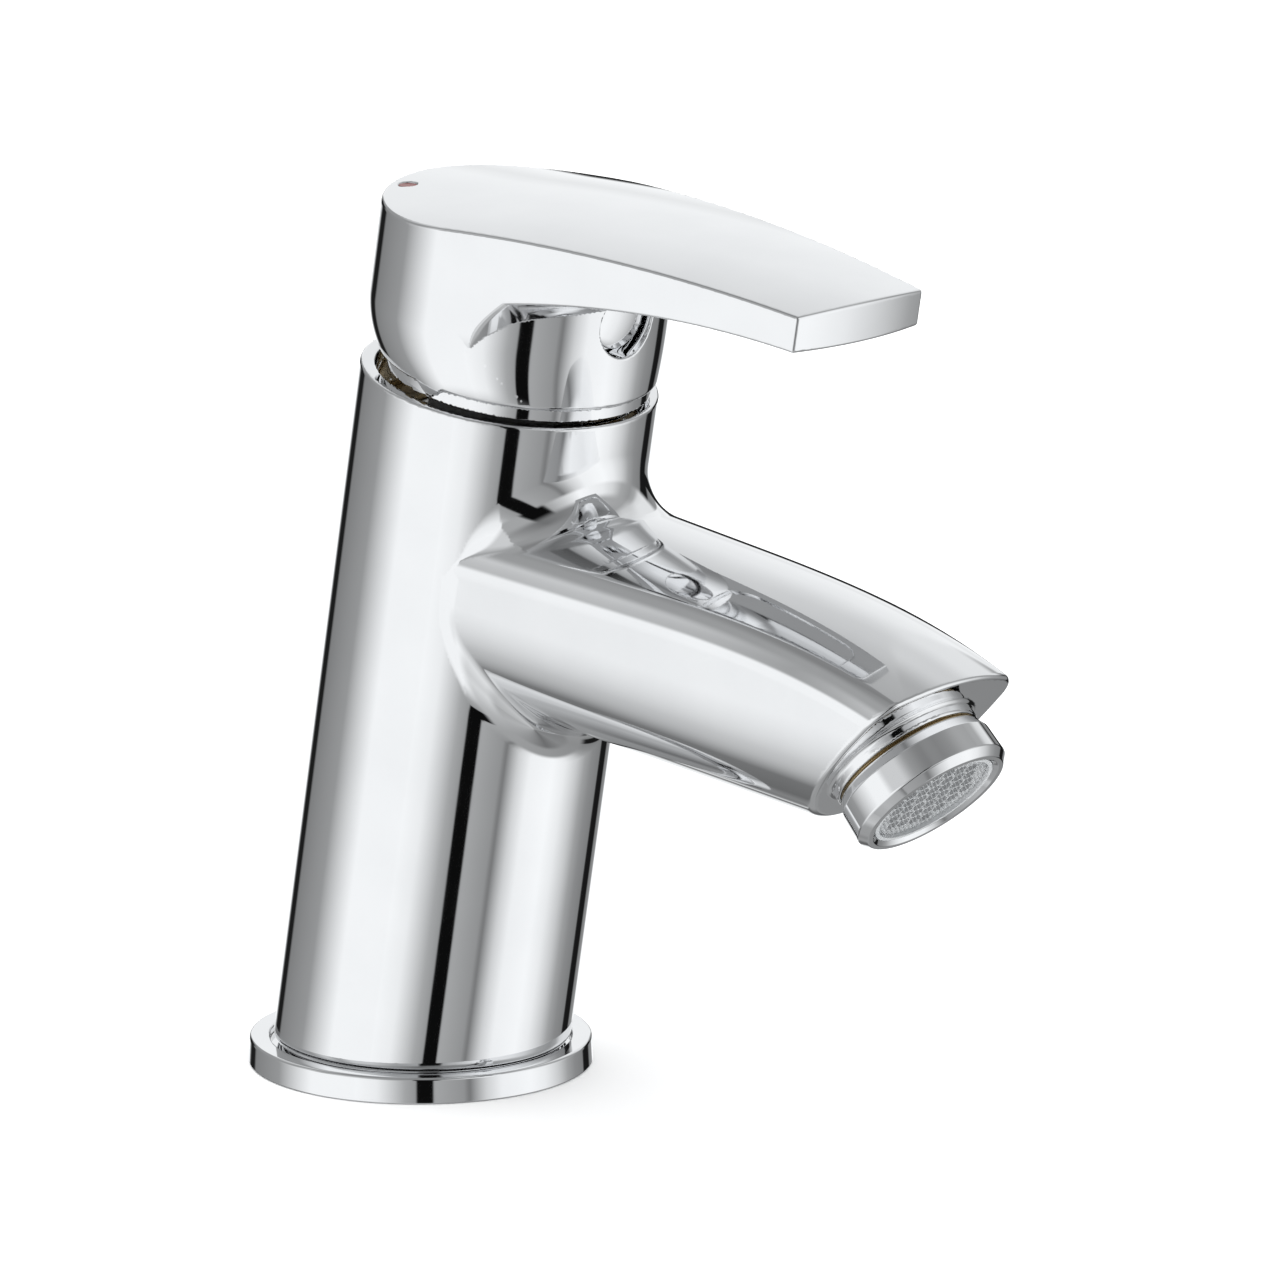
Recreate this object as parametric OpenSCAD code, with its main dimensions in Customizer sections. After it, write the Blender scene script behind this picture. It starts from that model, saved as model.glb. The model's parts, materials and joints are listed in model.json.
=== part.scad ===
// Single-lever basin mixer tap with a leaning cylindrical body, a short integral spout and a flat lever.
// Millimetres, +Z up. The origin is the centre of the underside of the base plinth, on the basin.
// The spout and the lever point to -Y, towards the user. Hot water is on the user's left, at -X.

/* [Body] */
// Radius of the cylindrical body
body_r = 21.4; // [21:0.1:22]
// Lean of the body's axis from upright, towards the spout
lean = 10.2; // [8:0.1:12]
// Height of the body's rim, along the leaning axis
rim_h = 105.8; // [104:0.1:108]
// Shift of the leaning axis from the origin, at deck level
foot_y = 0.43; // [0:0.01:1]

/* [Base] */
// Outer radius of the base plinth at the deck
plinth_r = 25; // [24:0.1:28]
// Thickness of the base plinth
plinth_t = 3.85; // [3.5:0.05:5]

/* [Spout] */
// Distance of the water outlet in front of the origin
reach = 100.4; // [96:0.1:104]
// Height of the outlet's face above the deck
outlet_z = 55.8; // [54:0.1:58]
// Angle of the outlet's axis below the horizontal
outlet_tilt = 45; // [43:1:47]
// Half of the spout's width where it leaves the body
spout_w_root = 18; // [17:0.1:19]
// Half of the spout's width at its nose
spout_w_nose = 14.1; // [13.5:0.1:15]

/* [Lever] */
// Length of the lever's blade, from the leaning axis to the corners of its tip
lever_l = 62.9; // [58:0.1:66]
// How far the middle of the lever's tip bows out past its corners
lever_bow = 1.2; // [0.5:0.1:2]
// Highest point of the lever's top face
lever_top_z = 131.7; // [131:0.1:133]
// Highest point of the arch under the lever's blade
lever_arch_z = 121.3; // [120.5:0.1:122]
// Half of the lever's width where the blade's outline meets the middle of the handle drum
lever_w_root = 21.55; // [21.4:0.05:21.7]
// Half of the lever's width at its tip
lever_w_tip = 12.8; // [11:0.1:15]

/* [Cartridge] */
// Outer radius of the cartridge, a standard 35 mm one
cart_r = 17.5; // [17.4:0.05:17.5]
// Height of the lever's pivot, along the leaning axis
pivot_h = 112.5; // [112:0.1:113]
// Distance from the pivot to the ball on the lever stem
arm = 16; // [15.5:0.1:16.5]
// How far the lever lifts, in degrees
lift = 22; // [18:1:22]

/* [Hidden] */
$fn = 96;

// Body casting: heights along the leaning axis
seat_h = 72;
bore_r = cart_r + 0.1;
thread_r = 18.95;
thread_h0 = 92.8;
thread_h1 = 99.5;
recess_r = 19.2;
rim_chamfer = 0.4;
skirt_r = 17.5;
skirt_z = 30;
foot_z = 2.6;
channel_r = 3.4;

// Ports: two inlets behind the leaning axis and one outlet in front of it
port_x = 7.5;
port_r = 3;
inlet_port_y = 4.5;
outlet_port_y = -9;

// Threaded sockets under the body, at the diameters of their tapped walls
inlet_r = 4.55;
inlet_l = 12;
inlet_y = -8;
stud_r = 3.4;
stud_l = 14;
stud_y = 6;

// Base plinth and the gasket under it
plinth_draft = 0.25;
plinth_hole_r = 17.4;
foot_clearance = 0.5;
gasket_r = 23.2;
gasket_hole_r = 19.4;
gasket_t = 1.4;

// Waterway from the cartridge's outlet port to the nozzle
waterway_r = 5;
waterway_y = -22;
waterway_z = 63;
waterway_l = 62;
waterway_dip = 3;

// Spout: the nose is cut square to the outlet's axis
neck_gap = 2.5;
aerator_l = 6.8;
nose_back = neck_gap + aerator_l;
nipple_r = 10.9;
nozzle_r = 8;
spout_y0 = -18;
spout_y1 = -107;
spout_steps = 4;

// Handle drum and the lip below it, offset to the front so that its back clears the rim when lifted
drum_r = 21.3;
drum_h = 115.5;
skirt_h = 108.4;
skirt_edge_r = 19.7;
lip_offset = 1.6;
lip_r = 19;
lip_h = 106.4;
cavity_r = 17.3;
ceiling_h = 121;
block_h = 116.4;
cap_h = 120.8;
cap_r = 4.2;
cap_hole_r = 4.8;
cap_t = 2.2;
cap_floor = 17.6;

// Cartridge pieces, along the leaning axis
base_top = 76;
gasket_top = 76.6;
fixed_disc_top = 80.3;
slide_disc_0 = 80.4;
slide_disc_top = 84.2;
carrier_top = 88;
flange_0 = 88.2;
flange_top = 90.8;
washer_top = 91.4;
housing_ceiling = 91.5;
shoulder_h = 93.5;
shoulder_r = 14.5;
housing_top = 97.5;
neck_r = 11;
neck_top = 115;
post_top = 99;
cavity_wall = 1.1;
run = 0.1;
seal_r = 5;
seal_hole_r = 3.7;
seal_t = 1.2;
disc_gasket_r = 15.5;
slide_disc_r = 12.4;
pocket_r = 4.6;
pocket_y = -5;
pocket_depth = 1.8;
flange_r = 16;
slip_washer_r = 15.8;
post_w = 8.8;
post_l = 10;
guide_w = 9;
guide_l = 17.2;
stem_slot_w = 8.2;
stem_slot_l = 11.4;
nut_top = 98.4;
notch_h = 96.6;
notch_r = 15.6;
notch_w = 3;

// The stem's ball sits behind the axis at rest and travels the same distance past it
half_lift = lift / 2;
ball_y = arm * sin(half_lift);
ball_h = pivot_h - arm * cos(half_lift);
ball_r = 3;
arm_r = 2.1;
stem_w = 8;
stem_top = 128.5;
stem_below = 3.5;
pin_r = 2;

// Grub screw, and its cap's spigot
grub_r = 2.5;
grub_l = 8;
grub_socket_r = 1.45;
grub_socket_h = 9.5;
spigot_r = 2.45;
spigot_l = 4;

// Aerator, measured along the outlet's axis from the nose's cut face
thread_l = 2.9;
housing_r = 12;
lip_bore_r = 9.6;
housing_bore_r = 10.6;
washer_t = 1;
washer_hole_r = 8;
insert_r = 10.5;
insert_flange_t = 1.9;
insert_mouth_r = 9.5;
insert_mouth = 6.3;
insert_tail = -5;
insert_tail_r = 7.8;
insert_bore_r = 6.6;
recess_floor = 4.6;
insert_recess_r = 8.9;
screen_r = 7.4;
screen_t = 0.6;
screen_hole_r = 0.7;
screen_pitch = 2.3;
jet_plate_r = 6.55;
jet_plate_t = 1.2;
jet_hole_r = 0.6;
jet_ring_r = 4.4;
jets = 8;
cell = 2.3;
comb_r = 8.85;
comb_t = 1;
gauze_t = 0.4;

// Frame of the leaning axis: +Z runs up the axis
module on_axis() translate([0, foot_y, 0]) rotate([lean, 0, 0]) children();

// Frame of the outlet: +Z runs out of the nose, and z = 0 is the nose's cut face
module on_outlet()
    translate([0, -reach, outlet_z])
        rotate([90 + outlet_tilt, 0, 0])
            translate([0, 0, -nose_back])
                children();

// A tube or ring standing on z = h0
module ring(h0, h1, r_out, r_in) {
    difference() {
        translate([0, 0, h0]) cylinder(h = h1 - h0, r = r_out);
        translate([0, 0, h0 - 1]) cylinder(h = h1 - h0 + 2, r = r_in);
    }
}

// Points of an arc about (cx, cy)
function arc(cx, cy, r, a0, a1, n) = [for (i = [0 : n]) let (a = a0 + (a1 - a0) * i / n)
    [cx + r * cos(a), cy + r * sin(a)]];

// Each of the cartridge's three ports
module at_ports() {
    for (s = [-1, 1])
        translate([s * port_x, inlet_port_y, 0])
            children();
    translate([0, outlet_port_y, 0])
        children();
}

// ---------------------------------------------------------------- spout

// Height of the spout's top and underside, and half of its width, at a distance y in front of the origin
function spout_top(y) = let (s = -53 - y) 86.1 - 0.12 * s - 0.00004 * max(s, 0) * s * s;
function spout_under(y) = 54.4 + 0.1 * (y + 46);
function spout_half(y) = spout_w_root + (spout_w_nose - spout_w_root) * (-y - 36) / 66;

// Upright section of the spout: a well crowned top with tight corners and a full, rounded underside
spout_crown = 0.0195;
spout_corner = 3;
corner_turn = 67;
spout_belly = 11;
function spout_section(w, z0, z1) = let (
    cx = w - spout_corner,
    edge = cx + spout_corner * cos(corner_turn),
    cz = z1 - spout_crown * edge * edge - spout_corner * sin(corner_turn))
    concat(
        arc(cx, cz, spout_corner, 0, corner_turn, 3),
        [for (i = [2 : -1 : -2]) let (x = edge * i / 3) [x, z1 - spout_crown * x * x]],
        arc(-cx, cz, spout_corner, 180 - corner_turn, 180, 3),
        arc(spout_belly - w, z0 + spout_belly, spout_belly, 180, 270, 6),
        arc(w - spout_belly, z0 + spout_belly, spout_belly, 270, 360, 6));

module spout_slice(y)
    translate([0, y, 0])
        rotate([90, 0, 0])
            linear_extrude(0.02)
                polygon(spout_section(spout_half(y), spout_under(y), spout_top(y)));

module spout_blank() {
    step = (spout_y1 - spout_y0) / spout_steps;
    for (i = [0 : spout_steps - 1])
        hull() {
            spout_slice(spout_y0 + i * step);
            spout_slice(spout_y0 + (i + 1) * step);
        }
}

module spout() {
    difference() {
        spout_blank();
        on_outlet() translate([-40, -60, 0]) cube([80, 120, 60]);
    }
    on_outlet() translate([0, 0, -2]) cylinder(h = 2 + neck_gap + thread_l, r = nipple_r);
}

module waterway() {
    on_axis() translate([0, outlet_port_y, seat_h - 9]) cylinder(h = 10, r = channel_r);
    translate([0, waterway_y, waterway_z])
        rotate([90 + waterway_dip, 0, 0])
            cylinder(h = waterway_l, r = waterway_r);
    on_outlet() translate([0, 0, -8]) cylinder(h = 20, r = nozzle_r);
}

// ---------------------------------------------------------------- body and base

module body_blank() {
    difference() {
        on_axis() translate([0, 0, -8]) cylinder(h = rim_h + 8, r = body_r);
        translate([-40, -40, foot_z - 30]) cube([80, 80, 30]);
    }
    spout();
}

module body_casting() {
    color("gainsboro")
        difference() {
            body_blank();
            on_axis() {
                translate([0, 0, seat_h]) cylinder(h = 40, r = bore_r);
                translate([0, 0, thread_h0]) cylinder(h = 20, r = thread_r);
                translate([0, 0, thread_h1]) cylinder(h = 20, r = recess_r);
                translate([0, 0, rim_h - rim_chamfer]) cylinder(h = 1, r1 = recess_r, r2 = recess_r + 1);
            }
            intersection() {
                on_axis() translate([0, 0, -12]) cylinder(h = 60, r = skirt_r);
                translate([-40, -40, -5]) cube([80, 80, skirt_z + 5]);
            }
            for (s = [-1, 1])
                translate([s * port_x, inlet_y, skirt_z - 1]) {
                    cylinder(h = inlet_l + 1, r = inlet_r);
                    cylinder(h = seat_h - skirt_z - 1, r = channel_r);
                }
            translate([0, stud_y, skirt_z - 1]) cylinder(h = stud_l + 1, r = stud_r);
            waterway();
        }
}

module base_plinth() {
    color("gainsboro")
        difference() {
            cylinder(h = plinth_t, r1 = plinth_r, r2 = plinth_r - plinth_draft);
            translate([0, 0, -1]) cylinder(h = 10, r = plinth_hole_r);
            translate([0, 0, foot_z]) cylinder(h = 10, r = body_r + foot_clearance);
            ring(-1, gasket_t, gasket_r, gasket_hole_r);
        }
}

module base_gasket() color("dimgray") ring(0, gasket_t, gasket_r, gasket_hole_r);

// ---------------------------------------------------------------- cartridge

module cartridge_base() {
    color("whitesmoke")
        on_axis()
            difference() {
                translate([0, 0, seat_h]) cylinder(h = base_top - seat_h, r = cart_r);
                at_ports() {
                    translate([0, 0, seat_h - 1]) cylinder(h = 10, r = port_r);
                    translate([0, 0, seat_h - 1]) cylinder(h = 1 + seal_t, r = seal_r);
                }
            }
}

module port_seals() {
    color("black")
        on_axis()
            at_ports()
                ring(seat_h, seat_h + seal_t, seal_r, seal_hole_r);
}

module disc_gasket() {
    color("black")
        on_axis()
            difference() {
                translate([0, 0, base_top]) cylinder(h = gasket_top - base_top, r = disc_gasket_r);
                at_ports() translate([0, 0, seat_h]) cylinder(h = 10, r = port_r);
            }
}

module lower_ceramic_disc() {
    color("white")
        on_axis()
            difference() {
                translate([0, 0, gasket_top])
                    cylinder(h = fixed_disc_top - gasket_top, r = cart_r - cavity_wall - run);
                at_ports() translate([0, 0, seat_h]) cylinder(h = 10, r = port_r);
            }
}

// The sliding disc's pocket joins an inlet port to the outlet port once the lever is lifted
module upper_ceramic_disc() {
    color("white")
        on_axis()
            translate([0, ball_y, 0])
                difference() {
                    translate([0, 0, slide_disc_0])
                        cylinder(h = slide_disc_top - slide_disc_0, r = slide_disc_r);
                    translate([0, pocket_y, slide_disc_0 - 1]) cylinder(h = 1 + pocket_depth, r = pocket_r);
                }
}

module disc_carrier() {
    color("lightblue")
        on_axis()
            translate([0, ball_y, 0])
                difference() {
                    union() {
                        translate([0, 0, slide_disc_top])
                            cylinder(h = carrier_top - slide_disc_top, r = slide_disc_r);
                        translate([-post_w / 2, -post_l / 2, carrier_top - 1])
                            cube([post_w, post_l, post_top - carrier_top + 1]);
                    }
                    translate([0, 0, ball_h - ball_r - 0.6]) cylinder(h = 20, r = ball_r + 0.08);
                }
}

module cartridge_housing() {
    color("whitesmoke")
        on_axis()
            difference() {
                union() {
                    translate([0, 0, base_top]) cylinder(h = shoulder_h - base_top, r = cart_r);
                    translate([0, 0, base_top]) cylinder(h = housing_top - base_top, r = shoulder_r);
                }
                translate([0, 0, base_top - 1])
                    cylinder(h = housing_ceiling - base_top + 1, r = cart_r - cavity_wall);
                translate([0, 0, base_top]) cylinder(h = 40, r = neck_r + 0.08);
            }
}

module slip_washer() color("ivory") on_axis() ring(flange_top, washer_top, slip_washer_r, neck_r + 0.3);

// The rotor turns in the housing; its long slot guides the carrier's post and the lever's stem
module cartridge_rotor() {
    color("lightgray")
        on_axis()
            difference() {
                union() {
                    translate([0, 0, flange_0]) cylinder(h = flange_top - flange_0, r = flange_r);
                    translate([0, 0, flange_0]) cylinder(h = neck_top - flange_0, r = neck_r);
                }
                translate([-guide_w / 2, -guide_l / 2, flange_0 - 1])
                    cube([guide_w, guide_l, post_top + 2 - flange_0]);
                translate([-stem_slot_w / 2, -stem_slot_l / 2, flange_0])
                    cube([stem_slot_w, stem_slot_l, 40]);
                translate([0, 0, pivot_h])
                    rotate([0, 90, 0])
                        cylinder(h = 30, r = pin_r, center = true);
            }
}

module pivot_pin() {
    color("silver")
        on_axis()
            translate([0, 0, pivot_h])
                rotate([0, 90, 0])
                    cylinder(h = 2 * neck_r - 1.6, r = pin_r, center = true);
}

module lever_stem() {
    color("goldenrod")
        on_axis()
            difference() {
                union() {
                    translate([-stem_w / 2, -stem_w / 2, pivot_h - stem_below])
                        cube([stem_w, stem_w, stem_top - pivot_h + stem_below]);
                    translate([0, ball_y, ball_h]) {
                        sphere(r = ball_r);
                        rotate([half_lift, 0, 0]) cylinder(h = arm - 1, r = arm_r);
                    }
                }
                translate([0, 0, pivot_h])
                    rotate([0, 90, 0])
                        cylinder(h = 30, r = pin_r + 0.05, center = true);
            }
}

// Threaded ring that holds the cartridge down, with four spanner notches
module lock_nut() {
    color("goldenrod")
        on_axis()
            difference() {
                ring(shoulder_h, nut_top, thread_r - 0.05, shoulder_r + 0.1);
                for (a = [45 : 90 : 315])
                    rotate(a)
                        translate([notch_r, -notch_w / 2, notch_h])
                            cube([6, notch_w, 5]);
            }
}

// ---------------------------------------------------------------- lever

// Top and underside of the lever on its centre line, at a distance y in front of the origin
top_bend_y = -18;
top_fall = 705;
arch_y = -58;
arch_fall = 338;
function lever_top(y) = lever_top_z - pow(max(0, top_bend_y - y), 2) / top_fall;
function lever_under(y) = lever_arch_z - pow(y - arch_y, 2) / arch_fall;

// Half of the blade's width at a distance in front of the leaning axis: a slightly waisted taper
waist = 1;
function lever_half(ahead) = let (u = ahead / lever_l)
    lever_w_root + (lever_w_tip - lever_w_root) * u - waist * u * (1 - u);

// Distances of the blade's outline in front of the origin, past the tip and at the front of the drum
beyond_tip = 92;
arch_start = 36;
blade_heel = [30, 117.2];
blade_back = [22, 112];
blade_steps = 8;

// Side outline of the blade, as [distance in front of the origin, height]
module blade_side() {
    polygon(concat(
        [blade_back, [blade_back[0], lever_top_z + 5], [beyond_tip, lever_top_z + 5]],
        [for (i = [blade_steps : -1 : 0]) let (d = arch_start + (beyond_tip - arch_start) * i / blade_steps)
            [d, lever_under(-d)]],
        [blade_heel]));
}

// Plan of the blade, square to the leaning axis. It starts just inside the drum, where the two are tangent
blade_start = 3.2;
root_inset = 0.15;
tip_steps = 6;
module blade_plan() {
    ahead = [for (i = [1 : blade_steps]) blade_start + (lever_l - blade_start) * i / blade_steps];
    root = lever_half(blade_start) - root_inset;
    polygon(concat(
        [[root, -blade_start]],
        [for (a = ahead) [lever_half(a), -a]],
        [for (i = [tip_steps - 1 : -1 : 1 - tip_steps]) let (t = i / tip_steps)
            [lever_w_tip * t, -lever_l - lever_bow * (1 - t * t)]],
        [for (i = [blade_steps - 1 : -1 : 0]) [-lever_half(ahead[i]), -ahead[i]]],
        [[-root, -blade_start]]));
}

// Space above the lever's top face, which trims the drum and the blade alike
top_n = 10;
crown_r = 111;
module above_lever() {
    translate([-40, 0, 0])
        rotate([90, 0, 90])
            linear_extrude(80)
                polygon(concat(
                    [[20, 160], [20, lever_top_z]],
                    [for (i = [0 : top_n]) let (y = top_bend_y - (beyond_tip + top_bend_y) * i / top_n)
                        [y, lever_top(y)]],
                    [[-beyond_tip, 160]]));
    difference() {
        translate([-40, -60, 100]) cube([80, 80, 60]);
        translate([0, 30, lever_top_z - crown_r])
            rotate([90, 0, 0])
                cylinder(h = 100, r = crown_r, $fn = 180);
    }
}

module lever_blade() {
    intersection() {
        translate([-40, 0, 0])
            rotate([90, 0, 90])
                linear_extrude(80)
                    mirror([1, 0])
                        blade_side();
        on_axis() translate([0, 0, 90]) linear_extrude(60) blade_plan();
    }
}

module drum() {
    on_axis() {
        translate([0, 0, drum_h]) cylinder(h = 28, r = drum_r);
        hull() {
            translate([0, 0, drum_h]) cylinder(h = 0.1, r = drum_r, $fn = 96);
            translate([0, -lip_offset, skirt_h]) cylinder(h = 0.1, r = skirt_edge_r, $fn = 96);
        }
        translate([0, -lip_offset, lip_h]) cylinder(h = 4, r = lip_r);
    }
}

module lever_cavity() {
    on_axis() {
        difference() {
            union() {
                translate([0, 0, lip_h + 3]) cylinder(h = ceiling_h - lip_h - 3, r = cavity_r);
                translate([0, -lip_offset, lip_h - 1]) cylinder(h = 6, r = cavity_r);
            }
            translate([-7, -20, block_h]) cube([14, 15.8, 10]);
        }
        translate([-stem_w / 2 - 0.05, -stem_w / 2 - 0.05, pivot_h])
            cube([stem_w + 0.1, stem_w + 0.1, stem_top + 0.3 - pivot_h]);
        translate([0, 0, cap_h])
            rotate([90, 0, 0]) {
                cylinder(h = 30, r = grub_r + 0.05);
                translate([0, 0, cap_floor]) cylinder(h = 10, r = cap_hole_r);
            }
    }
}

// Hot mark, sunk just below the crowned top face
dot_x = -8.2;
dot_y = -6.2;
dot_r = 1.3;
dot_t = 1;
dot_sink = 0.45;
module dot_place() translate([dot_x, dot_y, lever_top_z - dot_sink]) children();

module lever_handle() {
    color("gainsboro")
        difference() {
            union() {
                drum();
                lever_blade();
            }
            above_lever();
            lever_cavity();
            dot_place() translate([0, 0, -dot_t]) cylinder(h = 5, r = dot_r + 0.02);
        }
}

module grub_screw() {
    color("dimgray")
        on_axis()
            translate([0, 0, cap_h])
                rotate([90, 0, 0])
                    difference() {
                        translate([0, 0, stem_w / 2 + 0.02]) cylinder(h = grub_l, r = grub_r);
                        translate([0, 0, grub_socket_h]) cylinder(h = 5, r = grub_socket_r, $fn = 6);
                    }
}

// Snap-in cap over the grub screw: a flat face on a short spigot
module screw_cap() {
    color("gainsboro")
        on_axis()
            translate([0, 0, cap_h])
                rotate([90, 0, 0]) {
                    translate([0, 0, cap_floor]) cylinder(h = cap_t, r = cap_r);
                    translate([0, 0, cap_floor - spigot_l]) cylinder(h = spigot_l, r = spigot_r);
                }
}

module hot_dot() color("firebrick") dot_place() translate([0, 0, -dot_t]) cylinder(h = dot_t, r = dot_r);

// ---------------------------------------------------------------- aerator

module aerator_housing() {
    color("gainsboro")
        on_outlet()
            difference() {
                translate([0, 0, neck_gap]) cylinder(h = aerator_l, r = housing_r);
                cylinder(h = neck_gap + thread_l, r = nipple_r + 0.05);
                translate([0, 0, neck_gap + 2]) cylinder(h = aerator_l - 3, r = housing_bore_r);
                cylinder(h = 20, r = lip_bore_r);
            }
}

module aerator_washer()
    color("black")
        on_outlet()
            ring(neck_gap + thread_l, neck_gap + thread_l + washer_t, insert_r, washer_hole_r);

module aerator_body() {
    flange_z = neck_gap + thread_l + washer_t;
    color("lightgray")
        on_outlet()
            difference() {
                union() {
                    translate([0, 0, flange_z]) cylinder(h = insert_flange_t, r = insert_r);
                    translate([0, 0, insert_tail])
                        cylinder(h = neck_gap + insert_mouth - insert_tail, r = insert_tail_r);
                    translate([0, 0, flange_z + 1])
                        cylinder(h = neck_gap + insert_mouth - flange_z - 1, r = insert_mouth_r);
                }
                translate([0, 0, insert_tail - 1]) cylinder(h = 30, r = insert_bore_r);
                translate([0, 0, neck_gap + recess_floor]) cylinder(h = 5, r = insert_recess_r);
            }
}

// Flat strainer over the insert's inlet
module aerator_screen() {
    color("silver")
        on_outlet()
            difference() {
                translate([0, 0, insert_tail - screen_t]) cylinder(h = screen_t, r = screen_r);
                for (i = [-2 : 2], j = [-2 : 2])
                    if (abs(i + j) < 3)
                        translate([screen_pitch * (i + j / 2), 2 * j, insert_tail - 2])
                            cylinder(h = 4, r = screen_hole_r, $fn = 6);
            }
}

module aerator_jet_plate() {
    color("lightblue")
        on_outlet()
            difference() {
                cylinder(h = jet_plate_t, r = jet_plate_r);
                for (i = [0 : jets - 1])
                    rotate(i * 360 / jets)
                        translate([jet_ring_r, 0, -1])
                            cylinder(h = 4, r = jet_hole_r, $fn = 6);
            }
}

// Honeycomb that straightens the water
module aerator_straightener() {
    color("lightgray")
        on_outlet()
            difference() {
                translate([0, 0, neck_gap + recess_floor + 0.1]) cylinder(h = comb_t, r = comb_r);
                for (i = [-3 : 3], j = [-3 : 3])
                    if (abs(i + j) < 4)
                        translate([cell * (i + j / 2), cell * 0.866 * j, neck_gap + 4])
                            rotate(30)
                                cylinder(h = 4, r = cell * 0.47, $fn = 6);
            }
}

// Steel gauze over the honeycomb, just inside the housing's lip
module aerator_gauze()
    color("silver")
        on_outlet()
            translate([0, 0, neck_gap + recess_floor + 0.1 + comb_t])
                cylinder(h = gauze_t, r = comb_r);

body_casting();
base_plinth();
base_gasket();
cartridge_base();
port_seals();
disc_gasket();
lower_ceramic_disc();
upper_ceramic_disc();
disc_carrier();
cartridge_housing();
slip_washer();
cartridge_rotor();
pivot_pin();
lever_stem();
lock_nut();
lever_handle();
grub_screw();
screw_cap();
hot_dot();
aerator_housing();
aerator_washer();
aerator_body();
aerator_screen();
aerator_jet_plate();
aerator_straightener();
aerator_gauze();
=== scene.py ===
import json
import math

import bpy
import numpy as np
from mathutils import Matrix, Vector


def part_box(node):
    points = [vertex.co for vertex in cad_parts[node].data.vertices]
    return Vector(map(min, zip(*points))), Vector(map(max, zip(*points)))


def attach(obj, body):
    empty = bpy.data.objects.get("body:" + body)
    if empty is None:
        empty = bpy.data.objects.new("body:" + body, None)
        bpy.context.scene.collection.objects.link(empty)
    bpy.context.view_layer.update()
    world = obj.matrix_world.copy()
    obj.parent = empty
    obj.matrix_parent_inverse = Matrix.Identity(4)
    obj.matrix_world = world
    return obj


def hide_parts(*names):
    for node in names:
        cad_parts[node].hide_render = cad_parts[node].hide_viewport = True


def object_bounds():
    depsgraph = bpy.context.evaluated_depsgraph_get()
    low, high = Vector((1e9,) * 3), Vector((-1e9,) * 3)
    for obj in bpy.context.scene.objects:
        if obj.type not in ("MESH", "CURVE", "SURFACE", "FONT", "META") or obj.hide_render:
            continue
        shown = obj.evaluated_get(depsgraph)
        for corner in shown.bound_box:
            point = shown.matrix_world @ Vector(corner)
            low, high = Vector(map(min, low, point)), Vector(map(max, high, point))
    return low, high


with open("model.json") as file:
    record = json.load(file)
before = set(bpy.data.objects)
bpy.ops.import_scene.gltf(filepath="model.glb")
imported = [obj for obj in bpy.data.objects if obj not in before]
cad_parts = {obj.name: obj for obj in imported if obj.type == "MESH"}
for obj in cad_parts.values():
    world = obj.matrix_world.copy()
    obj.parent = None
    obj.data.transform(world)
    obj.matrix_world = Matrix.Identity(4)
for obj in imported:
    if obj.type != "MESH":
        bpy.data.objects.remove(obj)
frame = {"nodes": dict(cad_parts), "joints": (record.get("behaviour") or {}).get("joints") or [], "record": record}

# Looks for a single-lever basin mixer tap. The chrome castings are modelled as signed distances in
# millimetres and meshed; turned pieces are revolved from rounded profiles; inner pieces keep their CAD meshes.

MM = 0.001
CAD_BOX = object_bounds()


# ---------------------------------------------------------------- sizes taken from the frame

def low(node, axis):
    """Lowest coordinate of a CAD node along one axis, in millimetres."""
    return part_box(node)[0][axis] / MM


def high(node, axis):
    """Highest coordinate of a CAD node along one axis, in millimetres."""
    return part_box(node)[1][axis] / MM


JOINTS = {joint["name"]: joint for joint in frame["joints"]}
MOUNTS = {mount["name"]: mount for mount in frame["record"]["mounts"]}
SWIVEL = JOINTS["temperature_swivel"]
TILT_PIN = JOINTS["lever_tilt"]
SIN = -SWIVEL["axis"][1]
COS = SWIVEL["axis"][2]
FOOT_Y = SWIVEL["pos_m"][1] / MM + SWIVEL["pos_m"][2] / MM * SIN / COS
PIVOT_H = TILT_PIN["pos_m"][2] / MM / COS

BODY_R = high("body_casting", 0)
FOOT_Z = low("body_casting", 2)
RIM_H = (high("body_casting", 2) - BODY_R * SIN) / COS
PLINTH_R = high("base_plinth", 0)
PLINTH_T = high("base_plinth", 2)
DRUM_R = high("lever_handle", 0)
LEVER_TOP = high("lever_handle", 2)
LEVER_TIP = low("lever_handle", 1)
DOT_X = (low("hot_dot", 0) + high("hot_dot", 0)) / 2
DOT_Y = (low("hot_dot", 1) + high("hot_dot", 1)) / 2
DOT_R = high("hot_dot", 0) - DOT_X + 0.03
DOT_FLOOR = low("hot_dot", 2)
AERATOR_R = high("aerator_housing", 0)
COS_45 = math.sqrt(0.5)
OUTLET_Y = low("aerator_housing", 1) + AERATOR_R * COS_45
OUTLET_Z = low("aerator_housing", 2) + AERATOR_R * COS_45
INLET_X, INLET_Y, SOCKET_Z = (place / MM for place in MOUNTS["cold_inlet"]["pos_m"])
INLET_R = MOUNTS["cold_inlet"]["dims"]["r_mm"]
INLET_L = MOUNTS["cold_inlet"]["dims"]["length_mm"]
STUD_Y = MOUNTS["fixing_stud"]["pos_m"][1] / MM
STUD_R = MOUNTS["fixing_stud"]["dims"]["r_mm"]
STUD_L = MOUNTS["fixing_stud"]["dims"]["length_mm"]


# ---------------------------------------------------------------- sizes of the body, in millimetres

NECK_GAP = 2.5
AERATOR_L = 6.8
NOSE_BACK = NECK_GAP + AERATOR_L
NIPPLE_R = 10.9
NOZZLE_R = 8.0
NOZZLE_BACK = -8
COLLAR_R = 11.3
COLLAR_L = 1.95

FOOT_ROUND = 2.4
RIM_ROUND = 0.4
RECESS_R = 19.2

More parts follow.
